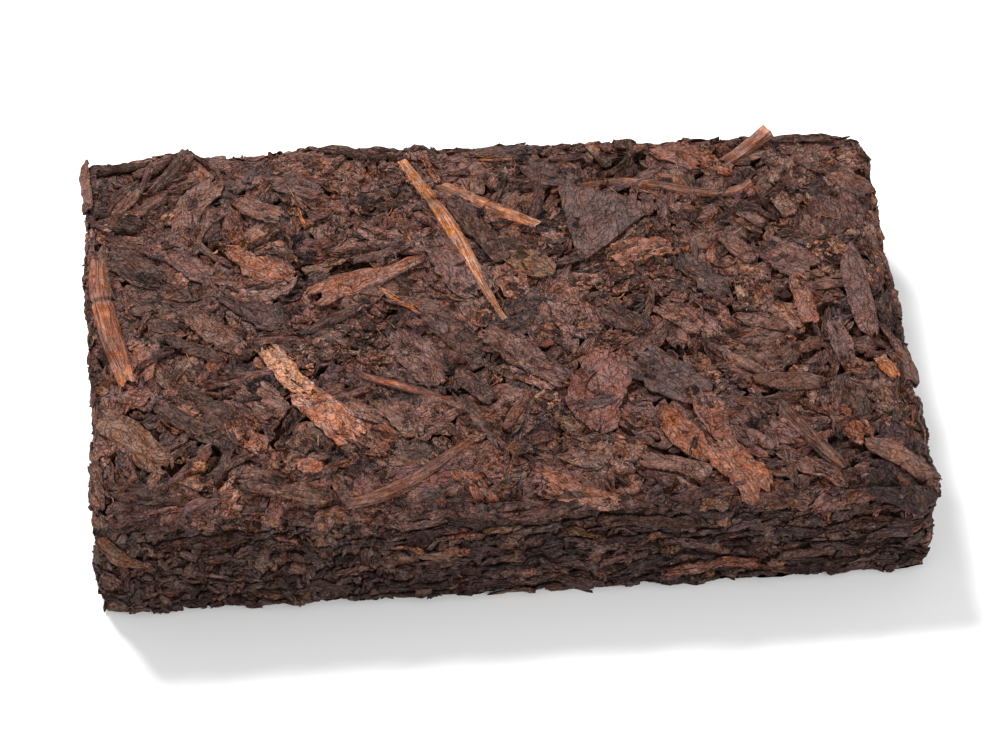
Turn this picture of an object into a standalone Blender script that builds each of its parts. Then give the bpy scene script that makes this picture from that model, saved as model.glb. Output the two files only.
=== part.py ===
"""Pressed pu erh tea brick, 150 x 98 x 25 mm: steamed leaves and stems pressed in a mould and dried.

The block is one solid out to its uneven outline. Its top is flat but for the leaves that show as
low plates with cracks between them, its walls are layered, and its edges are rounded and worn.
The largest stems and rolled leaves are solids of their own, each half sunk in a groove that
follows it with a small clearance.

Frame: metres, +Z up, +X along the length, +Y to the back, origin under the middle of the block.
"""

import math

import bmesh
import bpy
from mathutils import Vector, noise

MM = 0.001

# Driving dimensions of the block
LENGTH = 150 * MM
WIDTH = 98 * MM
HEIGHT_LEFT = 25 * MM  # the mould was filled unevenly, so the brick thins to the right
HEIGHT_RIGHT = 21.5 * MM
SHOULDER = 2.2 * MM  # rounding where the top meets the walls
FOOT = 0.6 * MM  # how far the wall draws in at the bottom
FOOT_HEIGHT = 1.8 * MM
CORNER = 3 * MM  # rounding of the four upright corners, seen from above

# Mesh of the block
COLUMNS = 54  # squares along the length
ROWS = 35  # squares across the width
WALL_RINGS = 7  # rings of faces down the wall
EDGE_CROWDING = 0.5  # how much the squares narrow towards the edges, 0 for not at all

# Relief of the pressed leaves
LEAF_SPAN = 11 * MM  # typical width of a leaf plate
LAYER = 5 * MM  # typical thickness of a layer as it shows in the wall
PLATE_LIFT = 0.9 * MM  # between the lowest plate and the highest
PLATE_TILT = 0.2  # steepest slope of a plate
CRACK_DEPTH = 1.1 * MM
CRACK_WIDTH = 0.3  # share of the leaf span that a crack's slope takes
PLATE_PATTERN = 7.3  # picks one set of tilts and lifts for the plates
SWELL = 0.8 * MM  # slow rise and fall of the pressed face
SWELL_SPAN = 40 * MM

# Stems
CLEARANCE = 0.3 * MM
STEM_SIDES = 2  # bevel resolution, for eight sides
STEM_STEPS = 3  # pieces between two points of a route
FLATTENED = 0.8  # pressing leaves a stem this much of its round height
SAME_PLACE = 0.01 * MM  # points this close are one
SMOOTH_BELOW = math.radians(50)  # edges of a stem that turn more than this stay sharp


def clear_scene():
    for thing in list(bpy.data.objects):
        bpy.data.objects.remove(thing)


def new_collection(name):
    collection = bpy.data.collections.new(name)
    bpy.context.scene.collection.children.link(collection)
    return collection


def finish(name, colour, roughness):
    """A dull material of one colour."""
    material = bpy.data.materials.new(name)
    material.use_nodes = True
    shader = material.node_tree.nodes["Principled BSDF"]
    shader.inputs["Base Color"].default_value = (*colour, 1)
    shader.inputs["Roughness"].default_value = roughness
    shader.inputs["Metallic"].default_value = 0
    return material


def height_at(x):
    """Height of the pressed face above the table, which falls evenly from left to right."""
    share = x / LENGTH + 0.5
    return HEIGHT_LEFT + (HEIGHT_RIGHT - HEIGHT_LEFT) * share


def shoulder_drop(x, y):
    """How far the rounded shoulder lies below the pressed face at a point of the plan."""
    over_x = max(0, SHOULDER - (LENGTH / 2 - abs(x)))
    over_y = max(0, SHOULDER - (WIDTH / 2 - abs(y)))
    reach = min(SHOULDER, math.hypot(over_x, over_y))
    return SHOULDER - math.sqrt(SHOULDER**2 - reach**2)


def crowded(share):
    """Moves a grid line's place, from -1 to 1, so that the lines lie closer near both edges."""
    return share + EDGE_CROWDING * math.sin(math.pi * share) / math.pi


def rounded_corner(x, y):
    """Moves a point of the plan rectangle so that the rectangle's corners become round."""
    inner_x = LENGTH / 2 - CORNER
    inner_y = WIDTH / 2 - CORNER
    if abs(x) <= inner_x or abs(y) <= inner_y:
        return x, y
    p = (abs(x) - inner_x) / CORNER
    q = (abs(y) - inner_y) / CORNER
    round_x = inner_x + CORNER * p * math.sqrt(1 - q * q / 2)
    round_y = inner_y + CORNER * q * math.sqrt(1 - p * p / 2)
    return math.copysign(round_x, x), math.copysign(round_y, y)


def leaf_relief(place):
    """How far the leaves stand out of the smooth block at a place: tilted plates, cracks between them
    and a slow swell. The plates are flat cells, so the walls look layered."""
    scaled = Vector((place.x / LEAF_SPAN, place.y / LEAF_SPAN, place.z / LAYER))
    distances, centres = noise.voronoi(scaled)
    plate = noise.cell_vector(centres[0] * PLATE_PATTERN)
    offset = scaled - centres[0]
    tilt = PLATE_TILT * LEAF_SPAN * (offset.x * (plate.x - 0.5) + offset.y * (plate.y - 0.5))
    lift = PLATE_LIFT * (plate.z - 0.5)
    crack = max(0, 1 - (distances[1] - distances[0]) / CRACK_WIDTH)
    swell = SWELL * noise.noise(place / SWELL_SPAN)
    return lift + tilt + swell - CRACK_DEPTH * crack * crack


def pressed_face(bm):
    """The top of the block: a grid bent down over the rounded shoulder."""
    bmesh.ops.create_grid(bm, x_segments=COLUMNS, y_segments=ROWS, size=1)
    for vert in bm.verts:
        x = LENGTH / 2 * crowded(vert.co.x)
        y = WIDTH / 2 * crowded(vert.co.y)
        z = height_at(x) - shoulder_drop(x, y)
        x, y = rounded_corner(x, y)
        vert.co = (x, y, z)


def walls(bm):
    """Extrudes the rim of the pressed face down to the table, drawing in at the foot."""
    for ring in range(1, WALL_RINGS + 1):
        rim = [edge for edge in bm.edges if edge.is_boundary]
        made = bmesh.ops.extrude_edge_only(bm, edges=rim)["geom"]
        for vert in (item for item in made if isinstance(item, bmesh.types.BMVert)):
            top = height_at(vert.co.x) - SHOULDER
            if ring < WALL_RINGS:
                share = ring / (WALL_RINGS - 1)
                vert.co.z = top + (FOOT_HEIGHT - top) * share
            else:
                vert.co.x *= 1 - 2 * FOOT / LENGTH
                vert.co.y *= 1 - 2 * FOOT / WIDTH
                vert.co.z = 0
    rim = [edge for edge in bm.edges if edge.is_boundary]
    bmesh.ops.contextual_create(bm, geom=rim)


def add_relief(bm):
    """Displaces everything but the flat bottom, and keeps the block at its stated length and width."""
    bmesh.ops.recalc_face_normals(bm, faces=bm.faces)
    bm.normal_update()
    moved = {}
    for vert in bm.verts:
        if vert.co.z > 0:
            moved[vert] = vert.co + vert.normal * leaf_relief(vert.co)
    for vert, place in moved.items():
        vert.co = place
    for axis, size in ((0, LENGTH), (1, WIDTH)):
        low = min(vert.co[axis] for vert in bm.verts)
        high = max(vert.co[axis] for vert in bm.verts)
        for vert in bm.verts:
            vert.co[axis] = (vert.co[axis] - (low + high) / 2) * size / (high - low)


def pressed_block(collection, material):
    bm = bmesh.new()
    pressed_face(bm)
    walls(bm)
    add_relief(bm)
    mesh = bpy.data.meshes.new("pressed_block")
    bm.to_mesh(mesh)
    bm.free()
    mesh.materials.append(material)
    block = bpy.data.objects.new("pressed_block", mesh)
    collection.objects.link(block)
    return block


def smooth_route(points):
    """Points of a smooth curve through a route's own points, each (x, y, lift, radius)."""
    route = [Vector(points[0])] + [Vector(point) for point in points] + [Vector(points[-1])]
    found = []
    for before, start, end, after in zip(route, route[1:], route[2:], route[3:]):
        for step in range(STEM_STEPS):
            t = step / STEM_STEPS
            pull = (end - before) * t + (before * 2 - start * 5 + end * 4 - after) * t**2
            found.append(start + (pull + (start * 3 - before - end * 3 + after) * t**3) / 2)
    return found + [route[-1]]


def stem_tube(name, route, grow):
    """A stem as a closed mesh: a tapering tube along its route, flattened as pressing leaves it.
    grow widens it all round, and at both ends, for the groove."""
    curve = bpy.data.curves.new(name, "CURVE")
    curve.dimensions = "3D"
    curve.bevel_depth = 1
    curve.bevel_resolution = STEM_SIDES
    curve.use_fill_caps = True
    spline = curve.splines.new("POLY")
    spline.points.add(len(route) - 1)
    places = []
    for x, y, lift, radius in route:
        surface = height_at(x) - shoulder_drop(x, y)
        places.append(Vector((x, y, surface + lift)))
    first = (places[0] - places[1]).normalized() * grow
    last = (places[-1] - places[-2]).normalized() * grow
    places[0] += first
    places[-1] += last
    for point, place, stop in zip(spline.points, places, route):
        point.co = (*place, 1)
        point.radius = stop[3] + grow
    tube = bpy.data.objects.new(name, curve)
    bpy.context.scene.collection.objects.link(tube)
    mesh = bpy.data.meshes.new_from_object(tube.evaluated_get(bpy.context.evaluated_depsgraph_get()))
    bpy.data.objects.remove(tube)
    bm = bmesh.new()
    bm.from_mesh(mesh)
    bmesh.ops.remove_doubles(bm, verts=bm.verts, dist=SAME_PLACE)
    for vert in bm.verts:
        nearest = min(places, key=lambda place: (vert.co.xy - place.xy).length)
        vert.co.z = nearest.z + (vert.co.z - nearest.z) * FLATTENED
    bmesh.ops.recalc_face_normals(bm, faces=bm.faces)
    bm.to_mesh(mesh)
    bm.free()
    return mesh


def sunk_stem(name, points, parts, cutters, material, block):
    """A stem in its groove. points are (x, y, height of its middle over the face, radius) in millimetres."""
    route = smooth_route([[number * MM for number in point] for point in points])
    mesh = stem_tube(name, route, 0)
    mesh.name = name
    mesh.materials.append(material)
    mesh.shade_smooth()
    mesh.set_sharp_from_angle(angle=SMOOTH_BELOW)
    parts.objects.link(bpy.data.objects.new(name, mesh))
    groove = bpy.data.objects.new(name + "_groove", stem_tube(name + "_groove", route, CLEARANCE))
    groove.hide_render = True
    groove.display_type = "WIRE"
    cutters.objects.link(groove)
    cut = block.modifiers.new(name + "_groove", "BOOLEAN")
    cut.operation = "DIFFERENCE"
    cut.object = groove


def tea_brick():
    clear_scene()
    parts = new_collection("pu_erh_tea_brick")
    cutters = new_collection("cutters")
    leaf = finish("pressed_leaf", (0.055, 0.025, 0.017), 0.75)
    bark = finish("stem_bark", (0.24, 0.09, 0.035), 0.7)
    dark_roll = finish("rolled_leaf", (0.07, 0.03, 0.022), 0.65)
    block = pressed_block(parts, leaf)
    stems = {
        "edge_stem": (
            bark,
            [(-72.4, 18.5, 0.3, 1.5), (-71.7, 8.5, 0.4, 1.8), (-70.6, -3, 0.5, 2), (-68.2, -15.6, 0.8, 2.2)],
        ),
        "long_stem": (
            bark,
            [(-14.6, 44, 0.8, 1.1), (-9.7, 32.5, 0.9, 1.3), (-4.6, 18.4, 0.7, 1.3), (-1.2, 7.3, 0.4, 0.9),
             (1.9, -1.4, 0.3, 0.6)],
        ),
        "split_stem": (
            bark,
            [(-7.3, 36.8, 0.8, 1.2), (0.6, 30.6, 0.9, 1.3), (10.2, 24.6, 0.7, 1)],
        ),
        "branch_stub": (
            bark,
            [(46.8, 40.6, 0.4, 1.2), (52, 44, 1.6, 1.3), (56.3, 46.6, 3.4, 1.5)],
        ),
        "curved_twig": (
            bark,
            [(19, 35.6, 0.4, 0.8), (28, 36.2, 0.5, 1.1), (38.3, 33.6, 0.5, 1.1), (46.8, 32.6, 0.4, 1),
             (51.6, 36, 0.3, 0.7)],
        ),
        "red_twig": (
            bark,
            [(-28.5, -13, 0.6, 0.6), (-22.3, -16.7, 0.6, 0.8), (-14.3, -20.2, 0.5, 0.8), (-7.7, -25.3, 0.3, 0.6)],
        ),
        "front_rolled_leaf": (
            dark_roll,
            [(-30.5, -48, 0.2, 0.9), (-24.3, -46.2, 0.2, 1.3), (-16.7, -41.6, 0.3, 1.4), (-7, -33.4, 0.3, 1)],
        ),
        "right_rolled_leaf": (
            dark_roll,
            [(49.6, -25.2, 0.3, 1), (53.4, -33.5, 0.4, 1.5), (59.6, -43.6, 0.2, 1.2)],
        ),
    }
    for name, (material, points) in stems.items():
        sunk_stem(name, points, parts, cutters, material, block)


tea_brick()
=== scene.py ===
import math

import bpy
import numpy as np
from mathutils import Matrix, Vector
from mathutils.bvhtree import BVHTree


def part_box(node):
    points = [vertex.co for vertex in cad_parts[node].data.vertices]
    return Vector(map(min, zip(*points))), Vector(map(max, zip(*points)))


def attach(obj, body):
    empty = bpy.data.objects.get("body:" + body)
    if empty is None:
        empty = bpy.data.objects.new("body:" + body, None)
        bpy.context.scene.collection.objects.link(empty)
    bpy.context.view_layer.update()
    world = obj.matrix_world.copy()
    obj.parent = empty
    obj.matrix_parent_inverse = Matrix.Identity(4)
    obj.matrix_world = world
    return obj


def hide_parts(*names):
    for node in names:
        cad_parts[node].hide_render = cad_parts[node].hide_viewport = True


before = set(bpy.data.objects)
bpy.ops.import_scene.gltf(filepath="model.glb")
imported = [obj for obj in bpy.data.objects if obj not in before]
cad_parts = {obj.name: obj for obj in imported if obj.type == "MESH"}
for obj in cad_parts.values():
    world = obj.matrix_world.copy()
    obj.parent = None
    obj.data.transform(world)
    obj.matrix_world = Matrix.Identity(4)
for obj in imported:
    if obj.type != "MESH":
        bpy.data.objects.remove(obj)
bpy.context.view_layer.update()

# The bed of the brick: steamed tea broken fine, which the mould has pressed into one hard mass.
# It is one closed body a little smaller than the brick, and its grain of small pressed bits
# shows wherever the leaves on it leave a gap.

MM = 0.001
rng = np.random.default_rng(5)

block_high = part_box("pressed_block")[1]
HALF_LENGTH = block_high.x / MM
HALF_WIDTH = block_high.y / MM
HEIGHT_LEFT = 25.0  # the brick thins to the right
HEIGHT_RIGHT = 21.5
EDGE = 1.7  # radius of the worn edges and upright corners
QUARTER = EDGE * math.pi / 2
INNER = np.array([HALF_LENGTH - EDGE, HALF_WIDTH - EDGE])


def face_height(x):
    """Height of the pressed face over the table."""
    return (HEIGHT_LEFT + HEIGHT_RIGHT) / 2 + (HEIGHT_RIGHT - HEIGHT_LEFT) * x / (2 * HALF_LENGTH)


def over_top(spots):
    """Points and outward directions of the pressed face. A spot is a place on a cloth that lies on the
    face and hangs down over its rounded edges."""
    core = np.clip(spots, -INNER, INNER)
    out = spots - core
    reach = np.linalg.norm(out, axis=-1)
    aside = out / np.maximum(reach, 1e-9)[..., None]
    angle = np.minimum(reach, QUARTER) / EDGE
    hang = np.maximum(reach - QUARTER, 0)
    plan = core + aside * (EDGE * np.sin(angle))[..., None]
    height = face_height(core[..., 0]) - EDGE * (1 - np.cos(angle)) - hang
    points = np.concatenate([plan, height[..., None]], -1)
    ways = np.concatenate([aside * np.sin(angle)[..., None], np.cos(angle)[..., None]], -1)
    return points, ways


# The outline of the walls, from the back left corner round by the front: where each straight
# and each rounded corner starts, the middle that it turns about, and the way out.
a, b = INNER
STOPS = np.cumsum([0, 2 * b, QUARTER, 2 * a, QUARTER, 2 * b, QUARTER, 2 * a, QUARTER])
MIDDLE_X = [-a, -a, -a, a, a, a, a, -a, -a]
MIDDLE_Y = [b, -b, -b, -b, -b, b, b, b, b]
WAY_OUT = np.radians([180, 180, 270, 270, 360, 360, 450, 450, 540])
ROUND = STOPS[-1]


def round_walls(spots):
    """Points and outward directions of the walls, for spots of (distance along the outline, height)."""
    along = spots[..., 0] % ROUND
    way = np.interp(along, STOPS, WAY_OUT)
    x = np.interp(along, STOPS, MIDDLE_X) + EDGE * np.cos(way)
    y = np.interp(along, STOPS, MIDDLE_Y) + EDGE * np.sin(way)
    points = np.stack([x, y, spots[..., 1]], -1)
    return points, np.stack([np.cos(way), np.sin(way), np.zeros_like(way)], -1)


def along_outline(plan):
    """Distance along the outline of points of the plan that lie on it or near it."""
    core = np.clip(plan, -INNER, INNER)
    out = plan - core
    way = np.arctan2(out[..., 1], out[..., 0]) % (2 * math.pi)
    x, y = core[..., 0], core[..., 1]
    on_side = [np.abs(y) < b - 1e-6, np.abs(x) < a - 1e-6]
    side = np.select(on_side, [np.where(x < 0, b - y, STOPS[4] + y + b),
                               np.where(y < 0, STOPS[2] + x + a, STOPS[6] + a - x)], np.nan)
    turn = np.where(way < math.pi, way + 2 * math.pi, way)
    corner = np.select([(x < 0) & (y < 0), (x > 0) & (y < 0), (x > 0) & (y > 0)],
                       [STOPS[1] + EDGE * (turn - math.pi), STOPS[3] + EDGE * (turn - 1.5 * math.pi),
                        STOPS[5] + EDGE * (turn - 2 * math.pi)], STOPS[7] + EDGE * (turn - 2.5 * math.pi))
    return np.where(np.isnan(side), corner, side)


def spread(field, cells):
    """Evens a sheet of numbers out over this many cells each way, first down it and then across."""
    wide = 2 * cells + 1
    for _ in range(2):
        for _ in range(2):
            total = np.cumsum(np.pad(field, [(cells + 1, cells), (0, 0)], mode="edge"), axis=0)
            field = (total[wide:] - total[:-wide]) / wide
        field = field.T
    return field


def read(field, spots, low, cell):
    """Reads a sheet of numbers between its cells."""
    place = (spots - low) / cell
    limit = np.array(field.shape[:2]) - 1.001
    place = np.clip(place, 0, limit)
    first = place.astype(int)
    part = place - first
    i, j = first[..., 0], first[..., 1]
    p, q = part[..., 0], part[..., 1]
    if field.ndim == 3:
        p, q = p[..., None], q[..., None]
    near = field[i, j] * (1 - p) + field[i + 1, j] * p
    far = field[i, j + 1] * (1 - p) + field[i + 1, j + 1] * p
    return near * (1 - q) + far * q


class Skin:
    """One side of the brick as a sheet of cells: how high the tea lies on each, and its colour."""

    def __init__(self, place, low, high, sunk, press, out=lambda spots: 0):
        """out is how far the tea stands over the evened-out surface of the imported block."""
        self.place = place
        self.low = np.array(low, float)
        self.high = np.array(high, float)
        self.cell = 0.3
        self.press = press  # how far the pressed leaves may stand over the face
        count = np.ceil((self.high - self.low) / self.cell).astype(int) + 1
        cells = np.stack(np.meshgrid(*[np.arange(n) for n in count], indexing="ij"), -1)
        self.face = self.measure(cells) + out(self.low + cells * self.cell)
        self.level = self.face - sunk
        # Painted shade: cells that no bit covers keep this near-black colour, the shade in the gaps between
        # the pressed bits.
        self.colour = np.tile(tone(40, 25, 20), (*count, 1))

    def measure(self, cells):
        """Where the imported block's surface lies, evened out."""
        step = 4
        sizes = [np.arange(0, n + step, step) for n in cells.shape[:2]]
        grid = np.stack(np.meshgrid(*sizes, indexing="ij"), -1)
        points, ways = self.place(self.low + grid * self.cell)
        start, reach = 8.0, 16.0
        depth = np.zeros(grid.shape[:2])
        for index in np.ndindex(depth.shape):
            way = Vector(ways[index])
            origin = Vector(points[index]) + way * start
            hit = block_surface.ray_cast(origin * MM, -way, reach * MM)
            depth[index] = start - hit[3] / MM if hit[0] else -1.0
        return read(spread(depth, 1), cells, 0, step)

    def at(self, field, spots):
        """Reads one of the sheet's fields at spots."""
        return read(field, spots, self.low, self.cell)


def tone(red, green, blue):
    """A colour as a maker's colour card gives it, 0 to 255, turned into light."""
    shade = np.array([red, green, blue], float) / 255
    return np.where(shade <= 0.04045, shade / 12.92, ((shade + 0.055) / 1.055) ** 2.4)


def lay(skin, spot, turn, length, width, thick, tint, lines=9, rows=5, full=2.5, tips=(0.3, 0.3), torn=0.3,
        taper=0.0, bend=0.0, arch=0.0, curl=(0.0, 0.0), rise=(0.0, 0.0), ribs=0.05, waves=1.5, stiff=0.5,
        crumple=0.09, vary=0.15, proud=0.0, tucked=True, made=True):
    """Lays one leaf or bit on a side of the brick and presses it onto what lies there. lines and rows are
    the points of its mesh along and across, full its outline from 1.5, pointed, to 6, square, tips how
    wide its two ends are, and torn how deep its edge is torn. arch, curl and rise lift its middle, its two
    long edges and its two ends, and ribs, waves and crumple wrinkle it. stiff is how far it bridges
    hollows, proud how far it may stand over the face, and vary how much its shade may differ. A tucked
    leaf is closed down to what it lies on. Without made it only raises the sheet's cells."""
    half = np.array([length, width]) / 2
    along = np.array([math.cos(turn), math.sin(turn)])
    across = np.array([-along[1], along[0]])
    knots = np.linspace(-1, 1, lines)
    body = (1 - np.abs(knots) ** full) ** (1 / full) * (1 + taper * knots)
    body = np.maximum(body, np.where(knots < 0, tips[0], tips[1]))
    bays = [np.interp(knots, np.linspace(-1, 1, 5), rng.random(5)) for _ in range(2)]
    sides = body * (1 - torn * (0.55 * np.array(bays) + 0.45 * rng.random((2, lines))))
    steps = np.linspace(-1, 1, rows)
    ends = 1 - 0.6 * torn * rng.random((2, rows))
    phase = rng.random(3) * 6.28
    seed = rng.random()
    shade = (1 + vary * rng.standard_normal()) * (1 + 0.25 * vary * rng.standard_normal(3))

    def relief(u, v):
        wave = np.sin(6.28 * (v * waves / 2 + 0.25 * np.sin(2.5 * u + phase[0])) + phase[1])
        swell = np.sin(5 * u + 2 * np.sin(3 * v + phase[1]) + phase[2])
        lift = arch * (1 - v * v) + curl[0] * np.clip(-v, 0, 1) ** 2 + curl[1] * np.clip(v, 0, 1) ** 2
        lift = lift + rise[0] * np.clip(-u, 0, 1) ** 2 + rise[1] * np.clip(u, 0, 1) ** 2
        return lift + ribs * (wave + swell)

    reach = math.hypot(half[0] * (1 + abs(bend)), half[1] * (1 + abs(taper)) + abs(bend) * half[0] * 0.7)
    reach += 3 * skin.cell
    first = np.floor((spot - reach - skin.low) / skin.cell).astype(int)
    last = np.ceil((spot + reach - skin.low) / skin.cell).astype(int) + 1
    first = np.maximum(first, 0)
    last = np.minimum(last, skin.level.shape)
    if np.any(last - first < 4):
        return None
    window = (slice(first[0], last[0]), slice(first[1], last[1]))
    corner = skin.low + first * skin.cell
    x = corner[0] + skin.cell * np.arange(last[0] - first[0])[:, None] - spot[0]
    y = corner[1] + skin.cell * np.arange(last[1] - first[1])[None, :] - spot[1]
    u = (x * along[0] + y * along[1]) / half[0]
    v = ((x * across[0] + y * across[1]) - bend * half[0] * (u * u - 0.33)) / half[1]
    v = v / np.where(v > 0, np.interp(u, knots, sides[1]), np.interp(u, knots, sides[0]))
    inside = (np.abs(v) < 1) & (u < np.interp(v, steps, ends[1])) & (u > -np.interp(v, steps, ends[0]))
    under = skin.level[window]
    soft = spread(under, 2)
    rest = np.maximum(under, soft)
    rest = rest + (spread(rest, 2) - rest) * stiff + thick
    rest = np.minimum(rest, skin.face[window] + skin.press + proud)
    high = rest + relief(u, v)
    inside &= high > under
    if not made:
        grain = 1 + 0.12 * rng.standard_normal(high.shape)
        skin.colour[window][inside] = (tint * shade * grain[..., None])[inside]
    skin.level[window][inside] = high[inside]
    if not made:
        return None

    u = knots[:, None] * np.where(knots[:, None] > 0, ends[1], ends[0])
    v = np.tile(steps, (lines, 1))
    wide = v * np.where(v > 0, np.interp(u, knots, sides[1]), np.interp(u, knots, sides[0]))
    aside = wide * half[1] + bend * half[0] * (u * u - 0.33)
    spots = spot + (u * half[0])[..., None] * along + aside[..., None] * across
    high = read(rest, spots, corner, skin.cell) + relief(u, v) + crumple * rng.standard_normal((lines, rows))
    low = high - 0.8 * thick
    if tucked:
        low = np.minimum(low, np.maximum(read(under, spots, corner, skin.cell) - 0.15, high - 1.1))
    rim = rim_of(lines, rows)
    inset = 1 - 0.3 * thick / half
    middle = spot + ((u * half[0] * inset[0])[..., None] * along + (aside * inset[1])[..., None] * across)
    places = np.concatenate([spots.reshape(-1, 2), middle.reshape(-1, 2)[rim]])
    heights = np.concatenate([high.ravel(), low.ravel()[rim]])
    # Painted shade: each point's tint differs at random. The rim of the upper side is darkened a little, and
    # the rim's underside, the leaf's side wall in its own shadow, is darkened to a third.
    tone_and_rim_shade = 1 + 0.1 * rng.standard_normal(lines * rows)
    tone_and_rim_shade[rim] *= 0.8
    top_tint = tint * shade * tone_and_rim_shade[:, None]
    tints = np.concatenate([top_tint, top_tint[rim] * 0.3])
    run = np.stack([u * half[0], aside, np.full_like(u, seed)], -1).reshape(-1, 3)
    return {"spots": places, "heights": heights, "tints": tints, "run": np.concatenate([run, run[rim]]),
            "skin": skin, "top": lines * rows}


def rim_of(lines, rows):
    """Numbers of a leaf's outermost points, anticlockwise."""
    front = [i * rows for i in range(lines)]
    right = [(lines - 1) * rows + j for j in range(1, rows)]
    back = [i * rows + rows - 1 for i in range(lines - 2, -1, -1)]
    left = list(range(rows - 2, 0, -1))
    return np.array(front + right + back + left)


block_surface = BVHTree.FromObject(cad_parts["pressed_block"], bpy.context.evaluated_depsgraph_get())
HANG = 7.0  # how far down the walls the sheet over the top reaches
top = Skin(over_top, -INNER - QUARTER - HANG, INNER + QUARTER + HANG, sunk=1.9, press=0.15,
           out=lambda spots: 0.5 + 0.8 * np.clip((spots[..., 1] - 10) / 38, 0, 1))
# How far the leaves of the walls stand out, at the outline's start, halfway along the left, and each stop.
STAND_OUT = [1, 0.3, 1, 1.8, 1.8, 2.6, 0, 1, 1, 1]
walls = Skin(round_walls, (-14, -1), (ROUND + 14, HEIGHT_LEFT), sunk=1.8, press=0.2,
             out=lambda spots: np.interp(spots[..., 0] % ROUND, [0, b, *STOPS[1:]], STAND_OUT))

BED_TONES = [tone(74, 48, 40), tone(86, 57, 47), tone(58, 38, 33), tone(102, 68, 55), tone(120, 82, 63)]
WALL_TONES = [tone(68, 51, 46), tone(80, 60, 54), tone(56, 42, 39), tone(92, 69, 60)]


def crumble(skin, count, spans, tones, lean, flat):
    """Small pressed bits, which only raise the sheet. lean is how far they turn from lying along it."""
    for spot in skin.low + rng.random((count, 2)) * (skin.high - skin.low):
        length = rng.uniform(*spans)
        turn = lean * rng.standard_normal() + (rng.integers(2) * math.pi)
        lay(skin, spot, turn, length, length * rng.uniform(*flat), rng.uniform(0.12, 0.4),
            tones[rng.integers(len(tones))], lines=6, rows=4, torn=0.5, tips=rng.random(2) * 0.8,
            arch=rng.uniform(0, 0.25), ribs=0.04, stiff=0.2, proud=-0.9, made=False)


SMALL_BITS = 9000
crumble(top, SMALL_BITS, (1.5, 4.5), BED_TONES, 2.0, (0.35, 0.8))
crumble(walls, SMALL_BITS, (1.5, 6), WALL_TONES, 0.2, (0.15, 0.4))


def bed_points(mesh):
    """Bends the flat sheet with its skirt of rings onto the brick, and gives each point's colour."""
    points = np.empty(len(mesh.vertices) * 3)
    mesh.vertices.foreach_get("co", points)
    points = points.reshape(-1, 3)
    share = points[:, :2]
    limit = INNER + QUARTER
    spots = share * limit
    past = np.maximum(np.abs(spots) - INNER, 0) / QUARTER  # the corner squares become quarter discs
    in_corner = np.all(past > 0, axis=1)
    bent = past * np.sqrt(1 - past[:, ::-1] ** 2 / 2)
    spots[in_corner] = (np.sign(share) * (INNER + QUARTER * bent))[in_corner]
    place, way = over_top(spots)
    top_level, top_colour = (top.at(field, spots) for field in (top.level, top.colour))
    down = -points[:, 2] / 2  # 0 at the sheet, 1 at the foot
    skirt = down > 1e-6
    place += way * top_level[:, None]
    colour = top_colour
    wall_height = (face_height(np.clip(spots[:, 0], -a, a)) - EDGE) * (1 - down)
    wall_spots = np.stack([along_outline(spots), wall_height], -1)
    wall_place, wall_way = round_walls(wall_spots)
    wall_level, wall_colour = (walls.at(field, wall_spots) for field in (walls.level, walls.colour))
    handover = np.clip(down * 8, 0, 1)[:, None]
    level = top_level[:, None] * (1 - handover) + wall_level[:, None] * handover
    place[skirt] = (wall_place + wall_way * level)[skirt]
    colour[skirt] = (top_colour * (1 - handover) + wall_colour * handover)[skirt]
    foot = down > 0.999
    place[:, 2] = np.maximum(place[:, 2], UNDER_SUNK)
    place[foot, 2] = UNDER_SUNK
    return place, colour, down


UNDER_SUNK = 1.0  # height of the bed's flat underside
BED_COLUMNS, BED_ROWS, BED_RINGS = 330, 214, 26
bpy.ops.object.select_all(action="DESELECT")
bpy.ops.mesh.primitive_grid_add(x_subdivisions=BED_COLUMNS, y_subdivisions=BED_ROWS, size=2)
bed = bpy.context.object
bed.name = "pressed_bed"
bpy.ops.object.mode_set(mode="EDIT")
bpy.ops.mesh.select_mode(type="EDGE")
bpy.ops.mesh.select_all(action="DESELECT")
bpy.ops.mesh.select_non_manifold()
for _ in range(BED_RINGS):
    bpy.ops.mesh.extrude_edges_move(TRANSFORM_OT_translate={"value": (0, 0, -2 / BED_RINGS)})
bpy.ops.mesh.edge_face_add()
bpy.ops.object.mode_set(mode="OBJECT")
bed_place, bed_colour, bed_down = bed_points(bed.data)
bed.data.vertices.foreach_set("co", (bed_place * MM).ravel())


def paint(mesh, tints):
    """Keeps a colour for each point of a mesh."""
    layer = mesh.attributes.new("leaf_tint", "FLOAT_COLOR", "POINT")
    layer.data.foreach_set("color", np.concatenate([tints, np.ones((len(tints), 1))], 1).clip(0, 1).ravel())


paint(bed.data, bed_colour)
bed.data.update()


def put(tree, kind, values=None, **settings):
    """Adds a shader node, with its settings and with a value or a link for each named socket."""
    node = tree.nodes.new(kind)
    for name, value in settings.items():
        setattr(node, name, value)
    for name, value in (values or {}).items():
        if isinstance(value, bpy.types.NodeSocket):
            tree.links.new(value, node.inputs[name])
        else:
            node.inputs[name].default_value = value
    return node


def both(tree, value, other, how="MULTIPLY"):
    """Two numbers of a shader, multiplied or joined in another way."""
    return put(tree, "ShaderNodeMath", {0: value, 1: other}, operation=how).outputs[0]


def between(tree, value, low, high, start=0.0, end=1.0):
    """A number of a shader, moved from one range into another."""
    return put(tree, "ShaderNodeMapRange", {"Value": value, "From Min": low, "From Max": high,
                                            "To Min": start, "To Max": end}).outputs[0]


def scaled(tree, vector, factor):
    """A colour or a place, times a number."""
    return put(tree, "ShaderNodeVectorMath", {0: vector, "Scale": factor}, operation="SCALE").outputs[0]


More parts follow.
